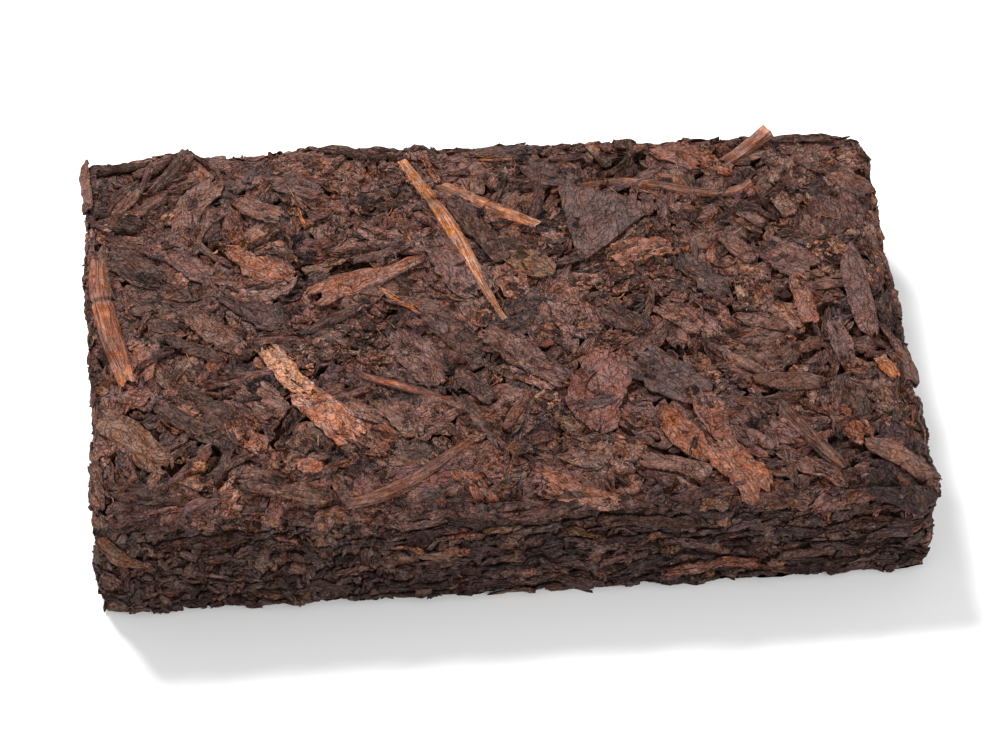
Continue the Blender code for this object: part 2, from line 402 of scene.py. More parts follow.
def new_group(name, takes, gives):
    """A shader group with named sockets, all of them numbers but for the run along a leaf."""
    group = bpy.data.node_groups.new(name, "ShaderNodeTree")
    for direction, sockets in (("INPUT", takes), ("OUTPUT", gives)):
        for socket in sockets:
            kind = "NodeSocketVector" if socket == "Run" else "NodeSocketFloat"
            group.interface.new_socket(socket, in_out=direction, socket_type=kind)
    return group, put(group, "NodeGroupInput").outputs


def crumb_grain():
    """Fine grain of pressed tea: rough crumbs with painted shade in the pits between them, patches that are
    warmer or darker, pale specks of stalk, and the cracks that open as the brick dries, darkened with painted
    shade. Grit is how rough the crumbs are and how strong their painted shade."""
    group, given = new_group("crumb_grain", ["Grit", "Speck Share", "Crack Share"],
                             ["Height", "Shade", "Warm", "Speck", "Richness"])
    where = put(group, "ShaderNodeTexCoord").outputs["Object"]

    def noise(span, detail=2.0, roughness=0.6):
        return put(group, "ShaderNodeTexNoise", {"Vector": where, "Scale": 1 / span, "Detail": detail,
                                                 "Roughness": roughness}).outputs["Fac"]

    grain = noise(0.0006, 4.0, 0.7)
    # Painted shade: the grain darkens where its bump lies low, in the pits, and lightens on the crumbs' tops.
    pits = between(group, grain, 0.38, 0.61, 0.5, 1.38)
    dust = noise(0.00024)
    powder = between(group, dust, 0.34, 0.66, 0.74, 1.26)
    patches = between(group, noise(0.0045, 3.0), 0.3, 0.7, 0.72, 1.16)
    warm = between(group, noise(0.0022, 3.0, 0.7), 0.46, 0.66)
    richness = between(group, noise(0.0032, 5.0, 0.8), 0.38, 0.62, 0.76, 1.16)
    # Painted light: the colour is richer in the grain's low pits and paler on its high tops, along with the
    # painted shade.
    richness = both(group, richness, between(group, grain, 0.42, 0.62, 1.05, 0.89))
    least = both(group, 0.86, both(group, given["Speck Share"], 0.1), "SUBTRACT")
    speck = both(group, both(group, noise(0.0006, 1.0), least, "SUBTRACT"), 20.0)
    speck = between(group, speck, 0.0, 1.0, 0.0, 0.7)
    bent = put(group, "ShaderNodeTexNoise", {"Vector": where, "Scale": 420.0, "Detail": 3.0}).outputs["Color"]
    bent = put(group, "ShaderNodeVectorMath", {0: where, 1: scaled(group, bent, 0.006)}, operation="ADD")
    plates = put(group, "ShaderNodeTexVoronoi", {"Vector": bent.outputs[0], "Scale": 260.0},
                 feature="DISTANCE_TO_EDGE")
    fades = between(group, noise(0.006), 0.44, 0.58)
    width = both(group, both(group, fades, given["Crack Share"]), 0.06)
    crack = both(group, plates.outputs["Distance"], width, "SUBTRACT")
    # Painted shade: along a crack the grain is darkened to a fifth, as well as sunk in the bump.
    crack = between(group, crack, -0.032, 0.003, 0.2, 1.0)
    rough = both(group, both(group, pits, powder), 1.0, "SUBTRACT")
    rough = both(group, both(group, rough, given["Grit"]), 1.0, "ADD")
    shade = both(group, both(group, rough, patches), crack)
    height = both(group, both(group, grain, 0.8), both(group, dust, 0.15), "ADD")
    height = both(group, both(group, height, given["Grit"]), crack, "ADD")
    put(group, "NodeGroupOutput", {"Height": height, "Shade": shade, "Warm": warm, "Speck": speck,
                                   "Richness": richness})
    return group


def leaf_creases():
    """Creases that run along a dried leaf or a stem, from its own places along and across: their height, a
    mask of the lines where the material paints their shade, and the fine fibres between them, dimmed with
    painted shade along the wrinkles' low folds."""
    group, given = new_group("leaf_creases", ["Run", "Fineness"], ["Height", "Crease", "Fibre"])
    along, across, seed = put(group, "ShaderNodeSeparateXYZ", {"Vector": given["Run"]}).outputs
    seed = both(group, seed, 53.0)

    def streaks(stretch, squeeze, detail):
        long_way = both(group, along, stretch)
        short_way = both(group, both(group, across, squeeze), given["Fineness"])
        line = put(group, "ShaderNodeCombineXYZ", {"X": long_way, "Y": short_way, "Z": seed})
        return put(group, "ShaderNodeTexNoise", {
            "Vector": line.outputs[0], "Scale": 1.0, "Detail": detail, "Roughness": 0.55,
            "Distortion": 0.5}).outputs["Fac"]

    def off_middle(value):
        """How far a pattern is from its middle value, which it crosses in long thin lines."""
        return both(group, both(group, value, 0.5, "SUBTRACT"), 0.0, "ABSOLUTE")

    fold = off_middle(streaks(0.2, 0.42, 2.0))
    here = between(group, streaks(0.3, 0.6, 1.0), 0.5, 0.6)
    crease = both(group, between(group, fold, 0.003, 0.014, 1.0, 0.0), here)
    wrinkle = between(group, off_middle(streaks(0.45, 0.85, 2.0)), 0.0, 0.035)
    # Painted shade: the fibres are dimmed along the wrinkles' folds, where the bump lies low.
    fine = both(group, streaks(0.9, 1.7, 3.0), between(group, wrinkle, 0.0, 1.0, 0.75, 1.0))
    height = both(group, between(group, fold, 0.0, 0.06), fine, "ADD")
    height = both(group, height, both(group, wrinkle, 0.5), "ADD")
    put(group, "NodeGroupOutput", {"Height": height, "Crease": crease, "Fibre": fine})
    return group


CRUMBS = crumb_grain()
CREASES = leaf_creases()
SPECK_TONE = (172, 126, 96)
PIT_TINT = (0.8, 0.45, 0.35, 1)  # what a deep pit leaves of the light


def tea_material(name, roughness, warm=0.38, warm_tone=(146, 96, 72), grit=0.4, specks=0.5, cracks=0.55,
                 creases=0.6, fibres=0.12, fineness=1.0, depth=0.0007, glow=0.06):
    """Dried tea: the tint painted on the piece's points, mottled and cracked, with painted shade in its pits,
    cracks and creases that turns reddish where it is darkest. fibres is how strongly the fine lines along it
    show."""
    material = bpy.data.materials.new(name)
    material.use_nodes = True
    tree = material.node_tree
    shader = tree.nodes["Principled BSDF"]
    grain = put(tree, "ShaderNodeGroup", node_tree=CRUMBS)
    for socket, value in (("Grit", grit), ("Speck Share", specks), ("Crack Share", cracks)):
        grain.inputs[socket].default_value = value
    grain = grain.outputs

    def mixed(share, first, second):
        return put(tree, "ShaderNodeMix", {"Factor": share, 6: first, 7: (*tone(*second), 1)},
                   data_type="RGBA").outputs[2]

    colour = put(tree, "ShaderNodeAttribute", attribute_name="leaf_tint").outputs["Color"]
    colour = scaled(tree, mixed(both(tree, grain["Warm"], warm), colour, warm_tone), grain["Shade"])
    colour = put(tree, "ShaderNodeHueSaturation", {"Saturation": grain["Richness"],
                                                   "Color": colour}).outputs["Color"]
    # Painted shade: where the grain's shade is darkest, the colour takes the reddish tint that light keeps
    # deep in a pit.
    pit_shade_share = between(tree, grain["Shade"], 0.2, 0.9, 1.0, 0.0)
    colour = put(tree, "ShaderNodeMix", {"Factor": pit_shade_share, 6: colour, 7: PIT_TINT}, data_type="RGBA",
                 blend_type="MULTIPLY").outputs[2]
    height = grain["Height"]
    if creases:
        run = put(tree, "ShaderNodeAttribute", attribute_name="leaf_run").outputs["Vector"]
        lines = put(tree, "ShaderNodeGroup", {"Run": run, "Fineness": fineness}, node_tree=CREASES).outputs
        # Painted shade: the colour darkens along the creases' lines.
        colour = scaled(tree, colour, between(tree, lines["Crease"], 0.0, 1.0, 1.0, 1 - creases))
        colour = scaled(tree, colour, between(tree, lines["Fibre"], 0.3, 0.7, 1 - fibres, 1 + fibres))
        height = both(tree, lines["Height"], height, "ADD")
    bump = put(tree, "ShaderNodeBump", {"Strength": 1.0, "Distance": depth, "Height": height})
    tree.links.new(mixed(grain["Speck"], colour, SPECK_TONE), shader.inputs["Base Color"])
    tree.links.new(between(tree, grain["Shade"], 0.4, 1.25, *roughness), shader.inputs["Roughness"])
    tree.links.new(bump.outputs["Normal"], shader.inputs["Normal"])
    shader.inputs["Specular IOR Level"].default_value = glow
    return material


bed.data.materials.append(tea_material("pressed_crumbs", (0.85, 0.7), grit=1, cracks=0.9, creases=0))
bed.data.shade_smooth()


def bed_map(mesh, down):
    """A texture map without overlaps: the sheet above, the skirt as a strip, the underside below them."""
    corners = np.empty(len(mesh.loops), int)
    mesh.loops.foreach_get("vertex_index", corners)
    share = bed_share[corners]
    uv = np.stack([0.5 + 0.49 * share[:, 0], 0.665 + 0.32 * share[:, 1]], -1)
    sizes = np.empty(len(mesh.polygons), int)
    mesh.polygons.foreach_get("loop_total", sizes)
    face = np.repeat(np.arange(len(sizes)), sizes)
    deepest = np.zeros(len(sizes))
    np.maximum.at(deepest, face, down[corners])
    round_share = along_outline(share * (INNER + EDGE)) / ROUND
    lowest = np.full(len(sizes), 9.0)
    highest = np.zeros(len(sizes))
    np.minimum.at(lowest, face, round_share)
    np.maximum.at(highest, face, round_share)
    wrapped = (highest - lowest)[face] > 0.5
    round_share = np.where(wrapped & (round_share < 0.5), round_share + 1, round_share)
    skirt = deepest[face] > 1e-6
    uv[skirt] = np.stack([0.01 + 0.97 * round_share, 0.33 - 0.06 * down[corners]], -1)[skirt]
    under = (sizes > 4)[face]
    uv[under] = np.stack([0.5 + 0.2 * share[:, 0], 0.13 + 0.11 * share[:, 1]], -1)[under]
    mesh.uv_layers.new(name="OFBake").data.foreach_set("uv", uv.ravel())


bed_share = bed_place[:, :2] / (INNER + EDGE)
bed_map(bed.data, bed_down)
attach(bed, "root")
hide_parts("pressed_block")


# The layered walls: where the leaves of all layers end at the mould's sides, they show edge-on as
# long torn strips one over another. They are only pressed, and their ragged ends stand out a little.

def leaf_faces(lines, rows):
    """Faces of one leaf mesh and a place for each of their corners in a square texture cell: the upper
    side, the rim, and a ladder of faces that closes it below."""
    faces, cells = [], []
    rim = rim_of(lines, rows)
    lower = {int(number): lines * rows + k for k, number in enumerate(rim)}

    def on_top(number):
        return 0.03 + 0.94 * (number // rows) / (lines - 1), 0.24 + 0.73 * (number % rows) / (rows - 1)

    for i in range(lines - 1):
        for j in range(rows - 1):
            face = [i * rows + j, (i + 1) * rows + j, (i + 1) * rows + j + 1, i * rows + j + 1]
            faces.append(face)
            cells.append([on_top(number) for number in face])
    for k, number in enumerate(rim):
        following = int(rim[(k + 1) % len(rim)])
        faces.append([lower[int(number)], lower[following], following, int(number)])
        x0, x1 = 0.03 + 0.94 * k / len(rim), 0.03 + 0.94 * (k + 1) / len(rim)
        cells.append([(x0, 0.14), (x1, 0.14), (x1, 0.2), (x0, 0.2)])
    for i in range(lines - 1):
        x0, x1 = 0.03 + 0.94 * i / (lines - 1), 0.03 + 0.94 * (i + 1) / (lines - 1)
        start = range(rows) if i == 0 else (0, rows - 1)
        end = range(rows - 1, -1, -1) if i == lines - 2 else (rows - 1, 0)
        bulge = [0.01 * (1 - (2 * j / (rows - 1) - 1) ** 2) for j in range(rows)]
        height = [0.03 + 0.07 * j / (rows - 1) for j in range(rows)]
        faces.append([lower[i * rows + j] for j in start] + [lower[(i + 1) * rows + j] for j in end])
        cells.append([(x0 - bulge[j], height[j]) for j in start] + [(x1 + bulge[j], height[j]) for j in end])
    return faces, cells


def repeat_mesh(name, points, tints, runs, faces, cells, count):
    """One mesh of many pieces with the same faces, each with a cell of its own in the texture map."""
    sizes = np.array([len(face) for face in faces])
    corners = np.concatenate([np.array(face) for face in faces])
    uv = np.concatenate([np.array(cell, float) for cell in cells])
    each = len(points) // count
    across = math.ceil(math.sqrt(count / 1.6))
    down = math.ceil(count / across)
    order = np.arange(count)
    shift = np.stack([order % across, order // across], -1)
    all_uv = (uv[None] + shift[:, None]) / (across, down)
    all_corners = corners[None] + (order * each)[:, None]
    all_sizes = np.tile(sizes, count)
    mesh = bpy.data.meshes.new(name)
    mesh.vertices.add(len(points))
    mesh.vertices.foreach_set("co", (points * MM).ravel())
    mesh.loops.add(all_corners.size)
    mesh.loops.foreach_set("vertex_index", all_corners.ravel())
    mesh.polygons.add(len(all_sizes))
    mesh.polygons.foreach_set("loop_start", np.concatenate([[0], np.cumsum(all_sizes)[:-1]]))
    mesh.update(calc_edges=True)
    mesh.uv_layers.new(name="OFBake").data.foreach_set("uv", all_uv.ravel())
    paint(mesh, tints)
    mesh.attributes.new("leaf_run", "FLOAT_VECTOR", "POINT").data.foreach_set("vector", runs.ravel())
    mesh.shade_smooth()
    mesh.set_sharp_from_angle(angle=math.radians(30))
    piece = bpy.data.objects.new(name, mesh)
    bpy.context.scene.collection.objects.link(piece)
    return piece


def shown(leaf):
    """Whether enough of a leaf is still in sight on its finished skin."""
    skin, count = leaf["skin"], leaf["top"]
    level = skin.at(skin.level, leaf["spots"][:count])
    return np.mean(leaf["heights"][:count] > level - 0.1) > (0.15 if count > 60 else 0.35)


def gather(name, leaves, lines, rows, material, slot, deep=1.0):
    """Joins the leaves that show into one piece, with painted shade that darkens and reddens them where they
    lie deep among their neighbours.
    """
    leaves = [leaf for leaf in leaves if leaf and shown(leaf)]
    points, tints = [], []
    for leaf in leaves:
        skin = leaf["skin"]
        place, way = skin.place(leaf["spots"])
        above = np.maximum(place[:, 2], 0)
        limit = skin.at(skin.face, leaf["spots"]) + 0.3 + 0.4 * above
        points.append(place + way * np.minimum(leaf["heights"], limit)[:, None])
        around = skin.at(skin.around, leaf["spots"])
        # Painted shade: the further a point lies under the spread level of its neighbours, the darker its
        # tint, losing most of its blue.
        sunk = np.clip((around - leaf["heights"]) / 0.9, 0, 1)
        tints.append(leaf["tints"] * (1 - deep * sunk[:, None] * (0.6, 0.76, 0.83)))
    points = np.concatenate(points)
    points[:, 2] = np.maximum(points[:, 2], 0)
    faces, cells = leaf_faces(lines, rows)
    piece = repeat_mesh(name, points, np.concatenate(tints), np.concatenate([leaf["run"] for leaf in leaves]),
                        faces, cells, len(leaves))
    piece.data.materials.append(material)
    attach(piece, "root")


def lowest_of(skin, low, high, tries=5):
    """A spot for the next leaf: the lowest of a few picked at random."""
    spots = np.array(low) + rng.random((tries, 2)) * (np.array(high) - low)
    return spots[np.argmin(skin.at(skin.level - skin.face, spots))]


STRIP_TONES = [tone(82, 63, 60), tone(92, 71, 67), tone(66, 51, 49), tone(104, 79, 72), tone(118, 84, 71)]
STRIP_SHARES = [0.3, 0.28, 0.23, 0.14, 0.05]
STRIP_COUNT = 3000
strips, chips = [], []
for _ in range(STRIP_COUNT):
    spot = lowest_of(walls, (-6, 1), (ROUND + 6, HEIGHT_LEFT - EDGE), 4)
    if spot[1] > face_height(round_walls(spot)[0][0]) - EDGE + 1:
        continue
    granular = STOPS[1] < spot[0] < STOPS[2] + 50  # the left part of the front
    chip = rng.random() < (0.85 if granular else 0.6)
    length = rng.uniform(1.2, 4) if chip else rng.uniform(3.5, 12)
    width = length * rng.uniform(0.35, 0.8) if chip else length * rng.uniform(0.12, 0.35)
    turn = (1.2 if granular else 0.7) if chip else 0.22
    turn = turn * rng.standard_normal() * min(1, spot[1] / 6) + rng.integers(2) * math.pi
    # Painted shade: the strips' tints are darker towards the foot of the wall, where the light from above
    # reaches less.
    (chips if chip else strips).append(lay(
        walls, spot, turn, length, width, rng.uniform(0.2, 0.5),
        STRIP_TONES[rng.choice(5, p=STRIP_SHARES)] * min(1, 0.72 + 0.02 * spot[1]),
        lines=6 if chip else 9, rows=4 if chip else 5, torn=0.6, tips=rng.uniform(0.1, 0.8, 2),
        bend=0.12 * rng.standard_normal(), arch=rng.uniform(0, 0.4), curl=rng.uniform(-0.2, 0.3, 2),
        rise=rng.uniform(-0.1, 0.5, 2) * (rng.random() < 0.4) * (spot[1] > 4), ribs=0.1, waves=2, stiff=0.4,
        tucked=rng.random() < 0.7))


TONES = {name: tone(*card) for name, card in {
    "slate": (90, 69, 65), "violet": (80, 60, 57), "dark": (76, 54, 48), "plum": (104, 74, 68),
    "brown": (110, 77, 66), "pale": (117, 81, 65), "olive": (112, 80, 60), "red": (120, 77, 64),
    "russet": (134, 86, 68), "orange": (136, 84, 63), "amber": (160, 104, 72), "tan": (180, 126, 95),
    "rose": (114, 74, 65), "bay": (96, 65, 53), "copper": (156, 99, 74), "ink": (56, 43, 41),
}.items()}
SHAPES = {
    "oval": dict(full=2.3, tips=(0.15, 0.2), torn=0.4),
    "plate": dict(full=4, tips=(0.6, 0.5), torn=0.45),
    "jagged": dict(full=2.6, tips=(0.2, 0.3), torn=0.75, ribs=0.15),
    "strip": dict(full=5, tips=(0.5, 0.4), torn=0.25, arch=0.25),
    "lens": dict(full=1.8, tips=(0.03, 0.03), torn=0.1),
    "folded": dict(full=2.2, tips=(0.1, 0.1), torn=0.2, arch=0.9, ribs=0.12),
    "crumbly": dict(full=3, tips=(0.4, 0.4), torn=0.6, ribs=0.18, crumple=0.14),
    "wrinkled": dict(full=3, tips=(0.3, 0.3), torn=0.4, ribs=0.3, waves=4),
    "fan": dict(full=8, tips=(0.02, 0.9), torn=0.15, taper=0.85, ribs=0.1),
}
LARGE_THICK = 0.45
LARGE = dict(lines=20, rows=11, stiff=0.6, crumple=0.06, ribs=0.11, waves=2.5, vary=0.04, curl=(0.2, 0.2))


def lay_from_to(skin, leaves, proud):
    """Lays leaves that are each given by where they start and end, their width, colour and shape."""
    laid_leaves = []
    for x0, y0, x1, y1, width, colour, shape, *more in leaves:
        start, end = np.array([x0, y0]), np.array([x1, y1])
        way = end - start
        settings = {"proud": proud, **LARGE, **SHAPES[shape], **(more[0] if more else {})}
        laid_leaves.append(lay(skin, (start + end) / 2, math.atan2(way[1], way[0]), np.hypot(*way), width,
                               LARGE_THICK, TONES[colour], **settings))
    return laid_leaves


FRONT = STOPS[2] + a  # the middle of the front wall, along the outline
RIGHT = STOPS[4] + b
BACK = STOPS[6]  # where the back wall starts
wall_leaves = lay_from_to(walls, [
    (FRONT - 75, 20, FRONT - 66, 12, 3.6, "pale", "folded", dict(bend=0.35)),
    (FRONT - 75.5, 11, FRONT - 70.5, 8, 3.2, "plum", "oval"),
    (FRONT - 50.5, 14.6, FRONT - 46.5, 16.6, 1.6, "plum", "lens"),
    (FRONT - 40.5, 12, FRONT - 37, 10.5, 2, "plum", "lens"),
    (FRONT - 43, 18.8, FRONT - 38, 16, 2.4, "red", "jagged"),
    (FRONT - 12.5, 16, FRONT - 5.5, 16, 1.5, "red", "lens"),
    (FRONT - 6, 17.2, FRONT + 1.2, 17.2, 1.7, "olive", "lens"),
    (FRONT - 13, 13.6, FRONT - 8, 12, 2.2, "russet", "crumbly"),
    (FRONT - 22, 14.3, FRONT - 16.5, 13.5, 0.7, "amber", "strip"),
    (FRONT + 8, 16.3, FRONT + 16.5, 13, 2, "olive", "jagged"),
    (FRONT + 26, 4.4, FRONT + 44.5, 6.8, 2.6, "red", "strip"),
    (FRONT + 25.5, 9.8, FRONT + 30, 10.3, 1.6, "olive", "crumbly"),
    (FRONT + 46.6, 20.4, FRONT + 49, 20.6, 1.8, "orange", "plate"),
    (FRONT + 14, 18, FRONT + 33, 16.5, 3, "dark", "strip"),
    (FRONT + 55, 12, FRONT + 71, 14, 3.2, "dark", "wrinkled"),
    (FRONT - 65, 17.5, FRONT - 46, 19, 3.4, "dark", "wrinkled"),
    (RIGHT - 46, 16, RIGHT - 30, 14, 3, "plum", "wrinkled"),
    (RIGHT - 20, 9, RIGHT - 4, 11, 3, "brown", "strip"),
    (RIGHT + 12, 15, RIGHT + 24, 12, 3, "red", "jagged"),
    (36, 8, 50, 10, 3, "brown", "wrinkled"),
    (66, 15, 80, 13, 3.4, "plum", "strip"),
    (BACK + 20, 9, BACK + 38, 7, 3, "brown", "wrinkled"),
    (BACK + 60, 14, BACK + 76, 15, 3, "red", "strip"),
    (BACK + 100, 8, BACK + 118, 11, 3.4, "plum", "wrinkled"),
], proud=0.3)
walls.around = np.maximum(spread(walls.level, 6), spread(walls.level, 2))
wall_leaf = tea_material("wall_leaf", (0.8, 0.65), warm=0.15, warm_tone=(130, 92, 72), grit=0.6, cracks=0,
                         fineness=1.8)
gather("wall_layers", strips, 9, 5, wall_leaf, "pressed_leaf")
gather("wall_chips", chips, 6, 4, wall_leaf, "pressed_leaf")
gather("wall_leaves", wall_leaves, LARGE["lines"], LARGE["rows"], wall_leaf, "pressed_leaf")

# The sheet over the top takes over the walls' leaves where it hangs down them.
down_wall = np.stack(np.meshgrid(*[np.arange(n) for n in top.level.shape], indexing="ij"), -1)
down_wall = down_wall * top.cell + top.low
beyond = np.linalg.norm(down_wall - np.clip(down_wall, -INNER, INNER), axis=-1)
wall_points = over_top(down_wall)[0]
wall_spots = np.stack([along_outline(down_wall), wall_points[..., 2]], -1)
handover = np.clip(beyond / QUARTER, 0, 1)
top.level = top.level * (1 - handover) + walls.at(walls.level, wall_spots) * handover
top.face = top.face * (1 - handover) + walls.at(walls.face, wall_spots) * handover


# The stems: bits of stalk and twig that went into the mould with the leaves. They are wood, some split so
# that its pale inside shows, and lie half sunk in the face, where only the press holds them.

STEM_SIDES, STEM_RINGS = 36, 64
STEM_GRAIN = 0.3  # the wood's own lines are this much longer than a leaf's

bpy.ops.object.select_all(action="DESELECT")
bpy.ops.mesh.primitive_circle_add(vertices=STEM_SIDES, radius=1, fill_type="NGON")
rod = bpy.context.object
bpy.ops.object.mode_set(mode="EDIT")
bpy.ops.mesh.select_mode(type="FACE")
bpy.ops.mesh.select_all(action="SELECT")
for _ in range(STEM_RINGS):
    bpy.ops.mesh.extrude_region_move(TRANSFORM_OT_translate={"value": (0, 0, 1 / STEM_RINGS)})
bpy.ops.mesh.select_all(action="DESELECT")
bpy.ops.object.mode_set(mode="OBJECT")
for face in rod.data.polygons:
    face.select = len(face.vertices) > 4
bpy.ops.object.mode_set(mode="EDIT")
bpy.ops.mesh.inset(thickness=0.4, use_individual=True)
bpy.ops.mesh.poke()
bpy.ops.mesh.select_all(action="SELECT")
bpy.ops.mesh.normals_make_consistent(inside=False)
bpy.ops.object.mode_set(mode="OBJECT")


def around_and_along(count_around, count_along, turn, share):
    """Uneven numbers from 0 to 1 that change smoothly round a stem and along it."""
    table = rng.random((count_around + 1, count_along + 1))
    table[-1] = table[0]
    cells = np.stack([turn % 1 * count_around, share * count_along], -1)
    return read(table, cells, 0, 1)


def rod_map(mesh):
    """A texture map for a rod: its side as one sheet, its two ends as discs beside it."""
    layer = mesh.uv_layers.new(name="OFBake")
    for face in mesh.polygons:
        spots = [mesh.vertices[number].co.copy() for number in face.vertices]
        end = len(spots) == 3 or min(math.hypot(spot.x, spot.y) for spot in spots) < 0.99
        turns = [math.atan2(spot.y, spot.x) / (2 * math.pi) + 0.5 for spot in spots]
        if max(turns) - min(turns) > 0.5:
            turns = [turn + 1 if turn < 0.5 else turn for turn in turns]
        for corner, spot, turn in zip(face.loop_indices, spots, turns):
            if end:
                above = 0.5 if spot.z > 0.5 else 0
                layer.data[corner].uv = (0.88 + 0.09 * spot.x, 0.15 + 0.09 * spot.y + above)
            else:
                layer.data[corner].uv = (0.02 + 0.7 * turn, 0.02 + 0.96 * spot.z)


rod_map(rod.data)


def stem(name, route, wood, bark, material, slot, barked=0.5, wide=1.15, thick=0.65, facets=7, ragged=0.8,
         ring=None):
    """A stem along its route, points of (x, y, height of its middle over the face, radius). barked is how
    much bark is left on the wood, wide and thick how flat it was pressed, facets how many flat sides it
    has, ragged how far its ends are torn, and ring where a crack runs round it."""
    points = np.empty(len(rod.data.vertices) * 3)
    rod.data.vertices.foreach_get("co", points)
    points = points.reshape(-1, 3)
    share = points[:, 2].clip(0, 1)
    turn = np.arctan2(points[:, 1], points[:, 0]) / (2 * math.pi) + 0.5
    reach = np.hypot(points[:, 0], points[:, 1])
    knots = np.array(route, float)
    steps = np.concatenate([[0], np.cumsum(np.hypot(*np.diff(knots[:, :2], axis=0).T))])
    length = steps[-1]
    curve = np.polyfit(steps / length, knots, len(knots) - 1)

    def middle(at):
        x, y, lift, radius = (np.polyval(curve[:, k], at) for k in range(4))
        past = np.maximum(np.abs(np.stack([x, y], -1)) - INNER, 0)
        past = np.minimum(np.linalg.norm(past, axis=-1), 0.98 * EDGE)
        height = face_height(x) - EDGE + np.sqrt(EDGE ** 2 - past ** 2) + lift
        return np.stack([x, y, height], -1), radius

    place, radius = middle(share)
    way = middle(share + 0.01)[0] - middle(share - 0.01)[0]
    way /= np.linalg.norm(way, axis=-1)[:, None]
    aside = np.stack([-way[:, 1], way[:, 0], np.zeros_like(share)], -1)
    aside /= np.linalg.norm(aside, axis=-1)[:, None]
    up = np.cross(way, aside)
    edges = np.sort(rng.random(facets))
    outline = np.interp(turn + 0.15 * share, edges, rng.uniform(0.78, 1.12, facets), period=1)
    outline = outline + 0.1 * (around_and_along(12, 14, turn, share) - 0.5)
    crack = np.zeros_like(share) if ring is None else np.exp(-((share - ring) * STEM_RINGS) ** 2)
    radius = radius * outline * reach * (1 - 0.15 * crack)
    angle = turn * 2 * math.pi
    torn = ragged * (around_and_along(11, 1, turn, np.round(share)) - 0.5) - 0.5 * ragged * (reach < 0.99)
    near_end = np.clip(1 - np.minimum(share, 1 - share) * STEM_RINGS / 4, 0, 1)
    shift = np.where(share > 0.5, torn, -torn) * near_end
    place = place + aside * (wide * radius * np.cos(angle))[:, None]
    place = place + up * (thick * radius * np.sin(angle))[:, None]
    place = place + way * shift[:, None]
    patches = 0.6 * around_and_along(9, 6, turn, share) + 0.4 * around_and_along(14, 22, turn, share)
    cover = np.clip((patches - 1 + barked) / 0.15, 0, 1) * np.clip(12 * (1 - share) - 2 * patches, 0, 1)
    tints = wood * (1 - cover[:, None]) + bark * cover[:, None]
    streak = 0.78 + 0.26 * around_and_along(16, 5, turn, share) + 0.2 * around_and_along(24, 40, turn, share)
    tints = tints * streak[:, None]
    tints = tints * (1 - 0.65 * crack)[:, None] * np.where(reach < 0.99, 0.75, 1)[:, None]
    run = np.stack([share * length * STEM_GRAIN, angle * 1.2, np.full_like(share, rng.random())], -1)
    piece = bpy.data.objects.new(name, rod.data.copy())
    piece.data.name = name
    bpy.context.scene.collection.objects.link(piece)
    piece.data.vertices.foreach_set("co", (place * MM).ravel())
    paint(piece.data, tints)
    piece.data.attributes.new("leaf_run", "FLOAT_VECTOR", "POINT").data.foreach_set("vector", run.ravel())
    piece.data.shade_smooth()
    piece.data.set_sharp_from_angle(angle=math.radians(38))
    piece.data.materials.append(material)
    piece.data.update()
    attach(piece, "root")
    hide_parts(name.removesuffix("_wood").removesuffix("_roll"))

    rest, radius = middle(np.linspace(0, 1, 60))
    for spot, size in zip(rest, radius):
        gap = np.hypot(down_wall[..., 0] - spot[0], down_wall[..., 1] - spot[1])
        under = (gap < size * wide + 0.4) & (beyond < QUARTER)
        lowest = spot[2] - face_height(spot[0]) - 0.25 * size - top.press
        top.face[under] = np.minimum(top.face[under], lowest)
        top.level[under] = np.minimum(top.level[under], lowest - 0.3)


stem_wood = tea_material("stem_wood", (0.8, 0.6), warm=0.15, grit=0.3, specks=0, cracks=0, creases=0.4,
                         fibres=0.14, fineness=2.4, depth=0.0004)
rolled_leaf = tea_material("rolled_leaf", (0.75, 0.6), cracks=0, fibres=0.3, fineness=1.6)
for name, route, wood, bark, more in [
    ("edge_stem_wood", [(-72.5, 18.5, 0.2, 1.5), (-72.2, 8.5, 0.5, 1.8), (-70.4, -3, 0.5, 1.8),
                        (-67.7, -15.6, 0.6, 1.4)],
     (166, 106, 76), (128, 80, 62), dict(barked=0.82, wide=1.3, ragged=1.6, ring=0.33)),
    ("long_stem_wood", [(-14.6, 44, 0.8, 1.1), (-9.7, 32.5, 0.9, 1.3), (-4.6, 18.4, 0.7, 1.4),
                        (-1.2, 7.3, 0.4, 0.9), (1.9, -1.4, 0.3, 0.6)],
     (180, 119, 85), (140, 89, 65), dict(barked=0.45, facets=5, ring=0.27)),
    ("split_stem_wood", [(-7.3, 36.4, 0.8, 1.3), (0.6, 30.2, 1, 1.5), (10.2, 24.3, 0.8, 1.1)],
     (180, 120, 87), (124, 82, 64), dict(barked=0.55, facets=5, ragged=1.4)),
    ("branch_stub_wood", [(46.8, 40.6, 0.4, 1.2), (52, 44, 1.6, 1.3), (56.3, 46.6, 3.4, 1.5)],
     (172, 116, 92), (132, 88, 71), dict(barked=0.8, thick=0.85)),
    ("curved_twig_wood", [(19, 35.6, 0.4, 0.8), (28, 36.2, 0.5, 1.1), (38.3, 33.6, 0.5, 1.1),
                          (46.8, 32.6, 0.4, 1), (51.6, 36, 0.3, 0.7)],
     (138, 92, 72), (106, 72, 60), dict(barked=0.7, wide=1.3)),
    ("red_twig_wood", [(-28.5, -13, 0.6, 0.6), (-22.3, -16.7, 0.6, 0.8), (-14.3, -20.2, 0.5, 0.8),
                       (-7.7, -25.3, 0.3, 0.6)],
     (152, 94, 74), (112, 71, 59), dict(barked=0.7, ragged=1.2)),
]:
    stem(name, route, tone(*wood), tone(*bark), stem_wood, "stem_bark", **more)
